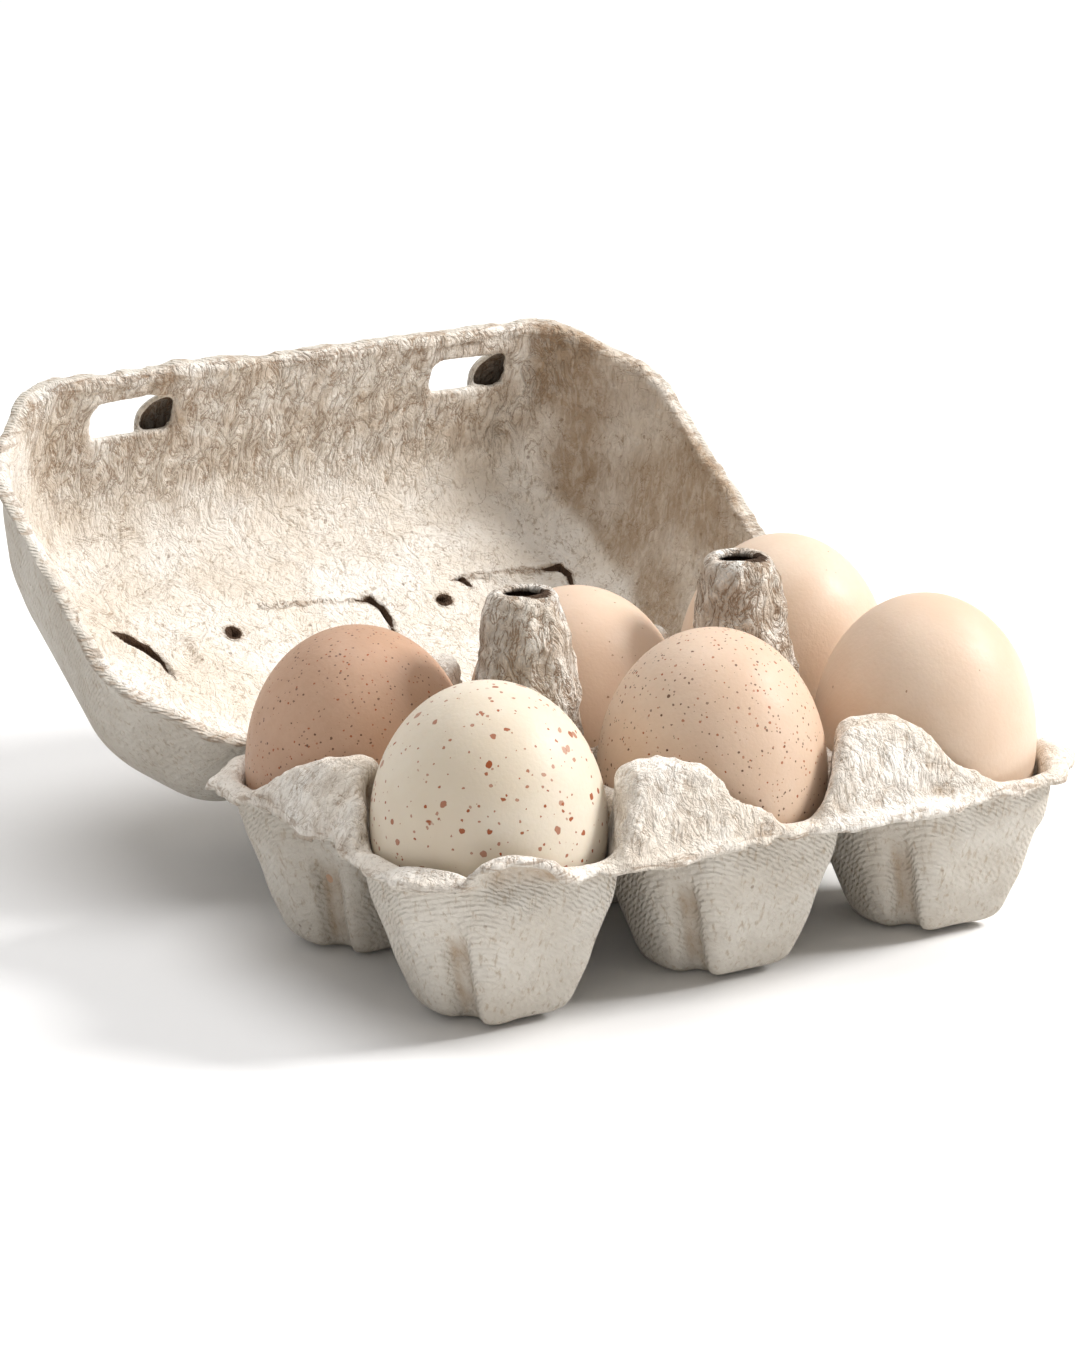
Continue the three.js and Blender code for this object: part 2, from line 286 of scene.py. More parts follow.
def moulding(name, points, faces, **marks):
    """A mesh object in metres, with one number per point for each mark."""
    mesh = bpy.data.meshes.new(name)
    mesh.from_pydata((points * MM).tolist(), [], faces.tolist())
    for mark, values in marks.items():
        layer = mesh.attributes.new(mark, "FLOAT", "POINT")
        layer.data.foreach_set("value", np.asarray(values, np.float32))
    mesh.shade_smooth()
    obj = bpy.data.objects.new(name, mesh)
    bpy.context.scene.collection.objects.link(obj)
    return obj


def lip_outline(x, y):
    """Distance outside the tray's cut-cornered outline, with a tongue below the front right hump."""
    side = np.abs(x) - LIP["half_length"]
    front = LIP["front"] - y
    back = y - LIP["back"]
    slant = LIP["chamfer"] / math.sqrt(2)
    front_slant = (side + front) / math.sqrt(2) + slant
    back_slant = (side + back) / math.sqrt(2) + slant
    outside = smooth_max(smooth_max(side, front, 2), back, 2)
    outside = smooth_max(smooth_max(outside, front_slant, 2), back_slant, 2)
    tongue = 3.6 * np.exp(-(((x - 27) / 17) ** 4)) + 1.6 * np.exp(-(((x + 21) / 15) ** 4))
    return outside - tongue * fade(-y, 30, 48)


def cup_hollow(x, y, z):
    """Inside of the nearest cup: a rounded square with flat corner panels and a flute beside each."""
    u = np.abs(x - PITCH[0] * np.clip(np.round(x / PITCH[0]), -1, 1))
    v = np.abs(np.abs(y) - PITCH[1] / 2)
    half = along_profile(CUP_HALF, z)
    square = 2.6 + 0.7 * np.clip(z / RIM_TOP, 0, 1) - 1.15 * fade(z, RIM_TOP, 44)
    rim_part = fade(z, 13, 30)
    field = (np.maximum(u, 0.01) ** square + np.maximum(v, 0.01) ** square) ** (1 / square) - half
    panel = 0.866 * u + 0.5 * v - half * (0.935 + 0.065 * rim_part)
    flat = np.maximum(u, v) - half * (0.945 + 0.05 * rim_part)
    field = smooth_max(smooth_max(field, panel, 0.8), flat, 0.8)
    beside = -0.669 * u + 0.743 * v
    flute = 3.0 * np.exp(-((beside / 2.9) ** 4)) * (1 - fade(z, 15, 27)) * fade(u + v, 4, 12)
    return smooth_max(field + flute, -z, 3.0) + WALL / 2


def post_solid(x, y, z):
    rise = np.clip(z - 36, 0, 40)
    across = np.hypot(np.abs(x + 0.02 * rise) - PITCH[0] / 2, y - 0.07 * rise)
    sides = across - along_profile(POST_RADIUS, z) + WALL / 2
    return smooth_max(sides, z - POST_TOP + WALL / 2, 1.3), across


def half_planes(a, z, corners):
    """Inside of a convex outline of (a, z) corners, given clockwise from its left foot."""
    field = None
    for (a0, z0), (a1, z1) in zip(corners[:-1], corners[1:]):
        length = math.hypot(a1 - a0, z1 - z0)
        side = (-(a - a0) * (z1 - z0) + (z - z0) * (a1 - a0)) / length
        field = side if field is None else smooth_max(field, side, 1.4)
    return field


HUMP_OUTLINES = {
    -1: [(-12.8, 31), (-5.4, 45.6), (-3.4, 46.9), (9.8, 46.4), (16.4, 40.6), (25.5, 32)],
    1: [(-16.6, 32.6), (-9.9, 43.6), (-7.4, 47.0), (6.2, 46.9), (12, 42.4), (25, 32)],
}
END_HUMP_OUTLINE = [(-23, 32), (-8, 42.0), (-2, 44.2), (8, 44.4), (13, 41.8), (19, 32)]


FRONT_HUMP_FOOT, BACK_HUMP_FOOT, END_HUMP_FOOT = 49.7, 48.9, 76.0
SIDE_HUMP_LEAN, END_HUMP_LEAN = 0.39, 0.72
HUMP_DEPTH = 16.5


def hump_faces(out, z, foot, lean):
    """Between a hump's leaning outer face and the inner face that drops to the dividers."""
    outer = (out - foot + lean * (z - RIM_TOP)) / math.hypot(1, lean)
    inner = foot - HUMP_DEPTH - out + 0.45 * np.clip(z - RIM_TOP, 0, 20) - 3 * lean
    return smooth_max(outer, inner, 2.0)


def hump_solids(x, y, z, hollow):
    """The six pillars between the cups at the tray's edge, each with a leaning outer face."""
    solids = None
    for side in (-1, 1):
        along = x - side * PITCH[0] / 2
        front_faces = hump_faces(-y, z, FRONT_HUMP_FOOT, SIDE_HUMP_LEAN)
        back_faces = hump_faces(y, z, BACK_HUMP_FOOT, SIDE_HUMP_LEAN)
        end_faces = hump_faces(side * x, z, END_HUMP_FOOT, END_HUMP_LEAN)
        front = smooth_max(half_planes(along, z, HUMP_OUTLINES[side]), front_faces, 1.2)
        back = smooth_max(half_planes(-along, z, HUMP_OUTLINES[-side]), back_faces, 1.2)
        end = smooth_max(half_planes(side * y, z, END_HUMP_OUTLINE), end_faces, 2.0)
        for solid in (front, back, end):
            solids = solid if solids is None else np.minimum(solids, solid)
    return smooth_max(solids, -hollow, 1.8)


def ridge_solids(x, y, z):
    """The low dividers that join the posts and humps."""
    width = 1.9 - 0.28 * (z - RIM_TOP)
    lengthwise = smooth_max(np.abs(y) - width, np.abs(x) - 62, 1.0)
    crosswise = smooth_max(np.abs(np.abs(x) - PITCH[0] / 2) - width, np.abs(y) - 38, 1.0)
    return smooth_max(np.minimum(lengthwise, crosswise), z - RIDGE_TOP, 1.2)


BEND_SPACING, BEND_SIZE = (22, 22, 26), 0.45
SAG_SIZE, DROOP_RATE, DROOP_START = 0.35, 0.42, 4.2
tray_step = 0.72
tray_low, tray_high = (-80.5, -58.5, -1.6), (80.5, 54.5, 73.0)
air = block_of_air(tray_low, tray_high, tray_step)
x = air[0] + grid_noise(air, BEND_SPACING, 11) * BEND_SIZE
y = air[1] + grid_noise(air, BEND_SPACING, 12) * BEND_SIZE
z = air[2]
hollow = cup_hollow(x, y, z)
sag = SAG_SIZE * grid_noise(air, (16, 16, 40), 13)
droop = DROOP_RATE * np.clip(lip_outline(x, y) + DROOP_START, 0, 9)
above = smooth_min(RIM_TOP - WALL / 2 + sag - droop - z, hollow, 2.2)
posts, from_post = post_solid(x, y, z)
above = smooth_max(above, -ridge_solids(x, y, z), 2.0)
above = smooth_max(above, -hump_solids(x, y, z, hollow), 1.6)
above = smooth_max(above, -posts, 2.2)
tab = np.sqrt(np.abs((x + 60.5) / 11) ** 1.2 + ((y + 49.6) / 4.4) ** 2 + ((z - 32.2) / 4.6) ** 2)
above = smooth_max(above, -(tab - 1) * 4.5, 1.6)
above = even_distance(above, tray_step)
ragged = 0.55 * grid_noise(air, (3.2, 3.2, 5), 14) + 0.3 * grid_noise(air, (1.9, 1.9, 3), 15)
wall_field = np.abs(above) - WALL / 2
wall_field = smooth_max(wall_field, lip_outline(x, y) + ragged, 0.6)
bore = np.maximum(from_post + 0.35 * ragged - POST_HOLE, 60 - z)
wall_field = np.maximum(wall_field, -bore)
wall_field = np.maximum(wall_field, 0.02 - air[2])
points, faces = skin(wall_field, tray_low, tray_step)
points = relax(points, faces, 2)
normals = point_normals(points, faces)
upper = np.clip(0.5 - read_at(above, tray_low, tray_step, points) / WALL, 0, 1)
from_posts = np.hypot(np.abs(points[:, 0]) - PITCH[0] / 2, points[:, 1])
on_post = (1 - fade(from_posts, 13, 16)) * fade(points[:, 2], 33, 38) * upper
on_hump = fade(points[:, 2], 31.5, 35) * upper * (1 - on_post)
in_bore = (points[:, 2] > BORE_FOOT) * ((from_posts < 13) * (1 - upper) + (from_posts < POST_HOLE))
flat_relief = pulp_noise(points, (4.2, 4.2, 4.2), 21)
fold_relief = 1 - 2 * np.abs(pulp_noise(points, (2.7, 2.7, 6.5), 22))
crumple = 1 - 2 * np.abs(pulp_noise(points, (2.3, 2.3, 2.3), 23))
body_of_post = on_post * (1 - 0.8 * fade(points[:, 2], 66.5, 69.5))
relief = 0.10 * flat_relief + body_of_post * (0.55 * fold_relief + 0.32 * crumple)
relief += on_hump * (0.30 * crumple + 0.18 * flat_relief)
lip_here = read_at(lip_outline(x, y), tray_low, tray_step, points)
edge = fade(-np.abs(lip_here), -1.6, -0.2)
relief += edge * 0.25 * pulp_noise(points, (1.6, 1.6, 1.2), 24)
points = points + normals * (relief - 0.1)[:, None]
points[:, 2] = np.maximum(points[:, 2], 0.05)
# Creases, cracks and stains on posts, humps and the lip's edge, partly painted shade on the posts;
# near-black painted shade inside the post bores.
crease = np.maximum(0.5 * on_post + 0.2 * on_hump + 0.12 * edge, np.clip(in_bore, 0, 1))
# Painted shade: the deeper a point lies in a fold or hollow, the browner it is coloured.
cavity = recess(points, faces, normals, 16, 0.55)
tray = moulding("moulded_tray", points + tray_middle, faces, inside=upper, edge=edge, crease=crease,
                cavity=cavity)


class Nodes:
    """Short way to build a material from shader nodes."""

    def __init__(self, name):
        self.material = bpy.data.materials.new(name)
        self.material.use_nodes = True
        self.tree = self.material.node_tree
        self.shader = self.tree.nodes["Principled BSDF"]
        self.place = self.add("ShaderNodeTexCoord").outputs["Object"]

    def add(self, kind, **settings):
        node = self.tree.nodes.new(kind)
        for key, value in settings.items():
            setattr(node, key, value)
        return node

    def join(self, source, socket):
        if isinstance(source, bpy.types.NodeSocket):
            self.tree.links.new(source, socket)
        else:
            socket.default_value = source

    def stretched(self, scale, turn=(0, 0, 0)):
        node = self.add("ShaderNodeMapping")
        node.inputs["Scale"].default_value = scale
        node.inputs["Rotation"].default_value = turn
        self.join(self.place, node.inputs["Vector"])
        return node.outputs["Vector"]

    def noise(self, scale, detail=3.0, rough=0.55, distortion=0.0, vector=None):
        node = self.add("ShaderNodeTexNoise")
        node.inputs["Scale"].default_value = scale
        node.inputs["Detail"].default_value = detail
        node.inputs["Roughness"].default_value = rough
        node.inputs["Distortion"].default_value = distortion
        self.join(vector or self.place, node.inputs["Vector"])
        return node.outputs["Fac"]

    def cells(self, scale, feature="F1", vector=None, randomness=1.0):
        node = self.add("ShaderNodeTexVoronoi", feature=feature)
        node.inputs["Scale"].default_value = scale
        node.inputs["Randomness"].default_value = randomness
        self.join(vector or self.place, node.inputs["Vector"])
        return node

    def bands(self, scale, direction, distortion, vector=None):
        node = self.add("ShaderNodeTexWave", wave_type="BANDS", bands_direction=direction)
        node.inputs["Scale"].default_value = scale
        node.inputs["Distortion"].default_value = distortion
        node.inputs["Detail"].default_value = 2.0
        node.inputs["Detail Scale"].default_value = 1.5
        self.join(vector or self.place, node.inputs["Vector"])
        return node.outputs["Fac"]

    def sum(self, operation, a, b, clamp=False):
        node = self.add("ShaderNodeMath", operation=operation, use_clamp=clamp)
        self.join(a, node.inputs[0])
        self.join(b, node.inputs[1])
        return node.outputs[0]

    def ramp(self, value, low, high, bottom=0.0, top=1.0):
        node = self.add("ShaderNodeMapRange", interpolation_type="SMOOTHSTEP")
        for socket, number in (("From Min", low), ("From Max", high), ("To Min", bottom), ("To Max", top)):
            node.inputs[socket].default_value = number
        self.join(value, node.inputs["Value"])
        return node.outputs["Result"]

    def mix(self, share, a, b):
        node = self.add("ShaderNodeMix", data_type="RGBA")
        self.join(share, node.inputs[0])
        self.join(a, node.inputs[6])
        self.join(b, node.inputs[7])
        return node.outputs[2]

    def mark(self, name):
        node = self.add("ShaderNodeAttribute", attribute_type="GEOMETRY", attribute_name=name)
        return node.outputs["Fac"]

    def bump(self, height, strength, distance):
        node = self.add("ShaderNodeBump")
        node.inputs["Strength"].default_value = strength
        node.inputs["Distance"].default_value = distance
        self.join(height, node.inputs["Height"])
        self.join(node.outputs["Normal"], self.shader.inputs["Normal"])


SCREEN_SHADE, SCREEN_PALE = (0.57, 0.52, 0.45, 1), (0.68, 0.64, 0.575, 1)
FELT_SHADE, FELT_PALE = (0.79, 0.715, 0.62, 1), (0.90, 0.86, 0.80, 1)
DASH_BROWN, PAINTED_SHADE_BROWN = (0.40, 0.31, 0.215, 1), (0.40, 0.295, 0.20, 1)
STAIN_AND_SHADE_BROWN, LAYER_BROWN = (0.40, 0.275, 0.17, 1), (0.30, 0.20, 0.125, 1)
CRACK_BROWN, HAIR_BROWN = (0.22, 0.135, 0.075, 1), (0.27, 0.17, 0.095, 1)
PAINTED_HOLE_SHADE, SPECK_DARK = (0.075, 0.043, 0.025, 1), (0.22, 0.15, 0.10, 1)


def moulded_pulp(name):
    """Grey-beige waste-paper pulp: a screen weave on the mould side, and matted fibre inside."""
    pulp = Nodes(name)
    inside = pulp.ramp(pulp.mark("inside"), 0.35, 0.75)
    crease = pulp.mark("crease")
    edge = pulp.mark("edge")
    cloud = pulp.noise(55, 4, 0.6)
    fibre = pulp.noise(420, 4, 0.65, 1.2, pulp.stretched((1, 1, 0.45)))
    fluff = pulp.noise(900, 3, 0.7)
    screen_colour = pulp.mix(pulp.ramp(cloud, 0.3, 0.72), SCREEN_SHADE, SCREEN_PALE)
    felt_colour = pulp.mix(pulp.ramp(cloud, 0.3, 0.7), FELT_SHADE, FELT_PALE)
    colour = pulp.mix(inside, screen_colour, felt_colour)
    dashes = pulp.noise(380, 3, 0.6, 0.3, pulp.stretched((2.6, 2.6, 0.6), (0.6, 0.45, 0.0)))
    grain = pulp.ramp(dashes, 0.54, 0.70, 0.0, 0.6)
    colour = pulp.mix(grain, colour, DASH_BROWN)
    # Painted shade: brown in folds and hollows, and on the lid's front and right end walls, broken up by
    # fibre.
    cavity = pulp.ramp(pulp.mark("cavity"), 0.1, 0.8)
    cavity = pulp.sum("MULTIPLY", cavity, pulp.ramp(fibre, 0.3, 0.6, 0.55, 0.9))
    colour = pulp.mix(cavity, colour, PAINTED_SHADE_BROWN)
    wrinkle = pulp.sum("ABSOLUTE", pulp.sum("SUBTRACT", pulp.noise(150, 4, 0.6, 0.9), 0.5), 0.0)
    strand = pulp.sum("ABSOLUTE", pulp.sum("SUBTRACT", pulp.noise(260, 3, 0.6, 1.6), 0.5), 0.0)
    patch = pulp.ramp(pulp.noise(150, 3), 0.47, 0.62)
    hair = pulp.sum("MULTIPLY", pulp.ramp(wrinkle, 0.0, 0.018, 1.0, 0.0), patch)
    turned = pulp.stretched((1, 1, 1), (0.3, 0.9, 0.2))
    patch_two = pulp.ramp(pulp.noise(240, 2, 0.5, 0.0, turned), 0.52, 0.62)
    short_hair = pulp.sum("MULTIPLY", pulp.ramp(strand, 0.0, 0.02, 0.8, 0.0), patch_two)
    hair = pulp.sum("ADD", hair, short_hair, True)
    hair = pulp.sum("MULTIPLY", hair, pulp.ramp(inside, 0.0, 1.0, 0.25, 0.8))
    zone = pulp.ramp(crease, 0.0, 0.5)
    pleat = pulp.noise(300, 4, 0.62, 0.8, pulp.stretched((1, 1, 0.42)))
    pleat = pulp.sum("ABSOLUTE", pulp.sum("SUBTRACT", pleat, 0.5), 0.0)
    # Stains on creased pulp; on the posts and the lid's walls they also serve as painted shade.
    stain_and_shade = pulp.sum("MULTIPLY", pulp.ramp(pulp.noise(170, 3, 0.6), 0.42, 0.6), zone)
    crack = pulp.sum("MULTIPLY", pulp.ramp(pleat, 0.0, 0.045, 1.0, 0.0), zone)
    colour = pulp.mix(pulp.sum("MULTIPLY", stain_and_shade, 0.45), colour, STAIN_AND_SHADE_BROWN)
    colour = pulp.mix(pulp.sum("MULTIPLY", crack, 0.8), colour, CRACK_BROWN)
    colour = pulp.mix(pulp.sum("MULTIPLY", hair, 0.8), colour, HAIR_BROWN)
    # Near-black painted shade in the post bores, the roof's slits and vents, and under the window hoods.
    colour = pulp.mix(pulp.ramp(crease, 0.6, 0.95), colour, PAINTED_HOLE_SHADE)
    layers = pulp.noise(300, 3, 0.6, 0.9, pulp.stretched((0.5, 0.5, 2.6)))
    torn = pulp.sum("MULTIPLY", pulp.ramp(layers, 0.5, 0.62), pulp.sum("MULTIPLY", edge, 0.55))
    colour = pulp.mix(torn, colour, LAYER_BROWN)
    specks = pulp.cells(420)
    chance = pulp.ramp(specks.outputs["Color"], 0.80, 0.84)
    speck = pulp.sum("MULTIPLY", pulp.ramp(specks.outputs["Distance"], 0.12, 0.22, 1.0, 0.0), chance)
    colour = pulp.mix(pulp.sum("MULTIPLY", speck, 0.6), colour, SPECK_DARK)
    pulp.join(colour, pulp.shader.inputs["Base Color"])
    weave = pulp.sum(
        "ADD",
        pulp.bands(430, "DIAGONAL", 3.0),
        pulp.bands(430, "Z", 3.0, pulp.stretched((1, 1, 1), (0.5, -0.4, 0.2))),
    )
    weave = pulp.sum("MULTIPLY", weave, pulp.sum("SUBTRACT", 1.0, inside))
    height = pulp.sum("MULTIPLY", weave, 0.30)
    folds = pulp.sum("ADD", pulp.ramp(wrinkle, 0.0, 0.10, 0.0, 0.8), pulp.ramp(strand, 0.0, 0.08, 0.0, 0.5))
    height = pulp.sum("ADD", height, pulp.sum("MULTIPLY", folds, pulp.ramp(inside, 0.0, 1.0, 0.2, 0.55)))
    height = pulp.sum("ADD", height, pulp.sum("MULTIPLY", pulp.ramp(pleat, 0.0, 0.12, 0.0, 1.6), zone))
    height = pulp.sum("ADD", height, pulp.sum("MULTIPLY", fibre, 0.9))
    height = pulp.sum("ADD", height, pulp.sum("MULTIPLY", fluff, 0.35))
    pulp.bump(height, 0.75, 0.0006)
    rough = pulp.ramp(fibre, 0.2, 0.8, 0.82, 0.97)
    pulp.join(rough, pulp.shader.inputs["Roughness"])
    pulp.shader.inputs["Specular IOR Level"].default_value = 0.25
    return pulp.material


pulp_finish = moulded_pulp("moulded_pulp")
tray.data.materials.append(pulp_finish)
columns, sides = ("left", "middle", "right"), ("left", "right")
tray_nodes = [f"cup_{row}_{column}" for row in ("front", "back") for column in columns]
tray_nodes += [f"{part}_{place}_{side}" for part in ("hump", "ridge") for place in ("front", "back", "end")
               for side in sides]
tray_nodes += ["rim_flange", "post_left", "post_right", "ridge_middle"]
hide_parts(*tray_nodes)
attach(tray, "tray")

# ---------------------------------------------------------------------------------------------
# The lid: an eight-sided dish of the same pulp, moulded in one with the tray and folded back.
# Two lock windows are punched in its front wall. Its roof has three shallow panels, with torn slits at
# their corners, and two vents between them; slits and vents are deep dents here, painted near-black as
# shade.
# ---------------------------------------------------------------------------------------------
LID_HALF = 80.5
LID_FRONT, LID_BACK, LID_FOOT, LID_DEPTH = -50.6, 50.2, 34.4, 39.0
LID_CUT = (18.0, 21.0)
LID_INSET = [(0, 0), (12, 2.6), (24, 6.2), (32, 10.2), (36.6, 14.4), (39, 20)]
OPEN_ANGLE = math.radians(146)
WINDOWS = dict(left=-38.5, right=43.5)
WINDOW_HALF, WINDOW_LOW, WINDOW_HIGH = 9.5, 40.6, 48.8
PANELS = (-49.5, 0.0, 49.5)
PANEL_MIDDLE, PANEL_HALF, PANEL_DEPTH = -5.0, (13.0, 6.5), 0.8
TEAR_DEPTH = 1.9
VENTS = [(-26.0, -7.0), (26.0, -7.0)]
hinge_line = middle("hinge_crease") - tray_middle


def lid_dish(x, y, z):
    """Distance outside the lid's moulded form, in its shut place."""
    depth = z - LID_FOOT
    inset = along_profile(LID_INSET, np.clip(depth, 0, 39)) - 1.3 * (1 - fade(depth, 0, 5))
    cut = 1 - 0.006 * depth
    across = np.abs(y - (LID_FRONT + LID_BACK) / 2)
    reach_x, reach_y = LID_HALF - inset, (LID_BACK - LID_FRONT) / 2 - inset
    length = math.hypot(*LID_CUT)
    corner = (LID_CUT[1] * np.abs(x) + LID_CUT[0] * across) / length
    corner_reach = ((reach_x - LID_CUT[0] * cut) * LID_CUT[1] + reach_y * LID_CUT[0]) / length
    sides = smooth_max(np.abs(x) - reach_x, corner - corner_reach, 5.0)
    sides = smooth_max(sides, across - reach_y, 5.0)
    return smooth_max(sides, depth - LID_DEPTH, 4.0)


def rounded_box(a, b, half_a, half_b, corner):
    p, q = np.abs(a) - half_a + corner, np.abs(b) - half_b + corner
    return np.sqrt(np.maximum(p, 0) ** 2 + np.maximum(q, 0) ** 2) + np.minimum(np.maximum(p, q), 0) - corner


def slit(x, y, path, width):
    """Distance from a torn slit that follows path, wider in its middle than at its ends."""
    nearest = None
    for (x0, y0, w0), (x1, y1, w1) in zip(path[:-1], path[1:]):
        length = (x1 - x0) ** 2 + (y1 - y0) ** 2
        t = np.clip(((x - x0) * (x1 - x0) + (y - y0) * (y1 - y0)) / length, 0, 1)
        reach = np.hypot(x - x0 - t * (x1 - x0), y - y0 - t * (y1 - y0)) - width * (w0 + t * (w1 - w0))
        nearest = reach if nearest is None else np.minimum(nearest, reach)
    return nearest


HOOD_RADII, HOOD_Y, HOOD_Z = (7.8, 4.3, 6.9), -47.2, 47.6


def hood_shape(x, y, z, right_end):
    """Under 1 inside the shell-shaped hood at a window's right end."""
    a, b, c = HOOD_RADII
    return np.sqrt(((x - right_end) / a) ** 2 + ((z - HOOD_Z) / c) ** 2 + ((y - HOOD_Y) / b) ** 2)


TEARS = [
    [(-52, -12.5, 0.25), (-49.5, -10.6, 0.8), (-46, -7.2, 1.1), (-44.2, -3, 0.8), (-43.6, 2.5, 0.2)],
    [(6.0, -11.4, 0.2), (9.4, -11.0, 1.0), (11.2, -8.2, 0.7), (11.5, -4.6, 0.55), (10.6, 0.5, 0.2)],
    [(30.0, -12.4, 0.2), (33.0, -11.8, 0.9), (34.2, -9.4, 0.3)],
    [(52, -11, 0.15), (57.2, -10.8, 0.75), (58.8, -8.6, 0.6), (57.6, -3.6, 0.2)],
]
CREASES = [
    [(-16.5, -12.9, 0.4), (-7, -12.4, 0.9), (0, -11.8, 0.9), (6, -11.4, 0.5)],
    [(34, -12.3, 0.4), (43, -12.0, 0.6), (52, -10.8, 0.5)],
]

lid_step = 0.72
lid_low, lid_high = (-86.0, -60.0, 31.5), (86.0, 55.5, 76.5)
air = block_of_air(lid_low, lid_high, lid_step)
x = air[0] + 0.6 * grid_noise(air, (26, 26, 26), 31)
y = air[1] + 0.6 * grid_noise(air, (26, 26, 26), 32)
z = air[2] + 0.5 * grid_noise(air, (24, 24, 24), 33)
dish = even_distance(lid_dish(x, y, z) + WALL / 2, lid_step)
pushed = np.zeros_like(dish)
for panel in PANELS:
    within = -rounded_box(x - panel, y - PANEL_MIDDLE, *PANEL_HALF, 3.0)
    pushed = pushed + PANEL_DEPTH * fade(within, -0.3, 1.8)
tear = np.min([slit(x, y, path, 1.0) for path in TEARS], axis=0)
for vent_x, vent_y in VENTS:
    tear = np.minimum(tear, np.hypot(x - vent_x, (y - vent_y) * 1.15) - 1.7)
pushed = pushed + TEAR_DEPTH * (1 - fade(tear, -0.9, 0.5))
dish = even_distance(dish - pushed * fade(z, 66, 70), lid_step)
ragged = 0.34 * grid_noise(air, (2.6, 2.6, 5), 34) + 0.3 * grid_noise(air, (9, 9, 9), 35)
rim_roll = smooth_max(np.abs(dish) - 1.75, z - LID_FOOT - 2.4, 1.2)
lid_field = smooth_min(np.abs(dish) - WALL / 2, rim_roll, 1.0)
lid_field = smooth_max(lid_field, LID_FOOT + 0.4 + ragged - air[2], 0.7)
for window in WINDOWS.values():
    middle_z = (WINDOW_LOW + WINDOW_HIGH) / 2
    opening = rounded_box(x - window, z - middle_z, WINDOW_HALF, (WINDOW_HIGH - WINDOW_LOW) / 2, 2.2)
    lid_field = np.maximum(lid_field, -np.maximum(opening + 0.55 * ragged, y + 38))
    right_end = window + WINDOW_HALF
    hood = hood_shape(x, y, z, right_end)
    hood_skin = np.abs((hood - 1) * 5.0) - 0.5
    hood_skin = np.maximum(hood_skin, -(dish - 0.3))
    hood_skin = np.maximum(hood_skin, right_end - 7.5 - x)
    lid_field = smooth_min(lid_field, hood_skin, 0.8)
points, faces = skin(lid_field, lid_low, lid_step)
points = relax(points, faces, 2)
normals = point_normals(points, faces)
felt_side = np.clip(0.5 - read_at(dish, lid_low, lid_step, points) / WALL, 0, 1)
px, py, pz = points.T
tear_marks = np.min([slit(px, py, path, 1.0) for path in TEARS], axis=0)
crease_marks = np.min([slit(px, py, path, 0.3) for path in CREASES], axis=0)
vent_marks = np.min([np.hypot(px - a, py - b) - 2.0 for a, b in VENTS], axis=0)
on_roof = fade(pz, 66, 70)
# Painted shade: the slits and vents, only dents here, are coloured near-black as if deep and dark.
torn = (1 - fade(np.minimum(tear_marks, vent_marks), -0.4, 0.4)) * on_roof * 1.3
crease_marks = crease_marks + 0.6 * pulp_noise(points, (1.8, 1.8, 1.8), 46)
# Dark lines along the panels' upper edges: crease lines, partly painted shade of the panel steps.
torn = np.maximum(torn, 0.5 * (1 - fade(crease_marks, 0.0, 0.7)) * on_roof)
crumple = 1 - 2 * np.abs(pulp_noise(points, (3.4, 3.4, 3.4), 41))
broad = pulp_noise(points, (8, 8, 8), 42)
ribs = 1 - 2 * np.abs(pulp_noise(points, (2.6, 9.0, 9.0), 43))
on_front = fade(-py, 38, 43) * felt_side
relief = felt_side * (0.13 * crumple + 0.14 * broad) + on_front * 0.14 * ribs + 0.05 * broad
rim_near = 1 - fade(pz - LID_FOOT, 1.2, 3.4)
relief += rim_near * 0.25 * pulp_noise(points, (1.8, 1.8, 1.1), 44)
points = points + normals * (relief - 0.08)[:, None]
in_hood = np.zeros(len(points))
beyond = read_at(dish, lid_low, lid_step, np.stack([px, py, pz], 1))
for window in WINDOWS.values():
    around = hood_shape(px, py, pz, window + WINDOW_HALF)
    in_hood = np.maximum(in_hood, (around < 1.08) * (beyond > 1.1))
# Painted shade on the lid's felt side: faint all over, more on the walls and most on the front wall; the
# slits and vents keep their dark.
crease = np.maximum(torn, felt_side * (0.03 + 0.2 * on_front + 0.12 * (1 - on_roof)))
# Painted shade inside the hoods at the windows' right ends.
crease = np.maximum(crease, 0.78 * in_hood)
# Painted shade in the walls' folds and hollows, none on the roof.
cavity = recess(points, faces, normals, 16, 0.55) * (1 - on_roof)
mottled = np.clip(0.55 + 0.6 * pulp_noise(points, (9, 9, 9), 47), 0, 1)
# Painted shade: brown on the front wall and deep brown on the right end wall, mottled.
painted_wall_shade = 0.42 * on_front + 0.9 * fade(px, 56, 68) * (1 - 0.6 * on_roof)
cavity = np.maximum(cavity, felt_side * mottled * painted_wall_shade * (1 - 0.8 * on_roof))
a, b = hinge_line[1] - points[:, 1], points[:, 2] - hinge_line[2]
points[:, 1] = hinge_line[1] - a * math.cos(OPEN_ANGLE) + b * math.sin(OPEN_ANGLE)
points[:, 2] = hinge_line[2] + a * math.sin(OPEN_ANGLE) + b * math.cos(OPEN_ANGLE)
lid = moulding("moulded_lid", points + tray_middle, faces, inside=felt_side, edge=rim_near, crease=crease,
               cavity=cavity)
lid.data.materials.append(pulp_finish)
lid_nodes = ["lid_front_wall", "lid_back_wall", "lid_end_left", "lid_end_right", "lid_roof"]
lid_nodes += [f"lid_corner_{row}_{side}" for row in ("front", "back") for side in sides]
lid_nodes += ["window_lip_left", "window_lip_right"]
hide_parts(*lid_nodes)
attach(lid, "lid")

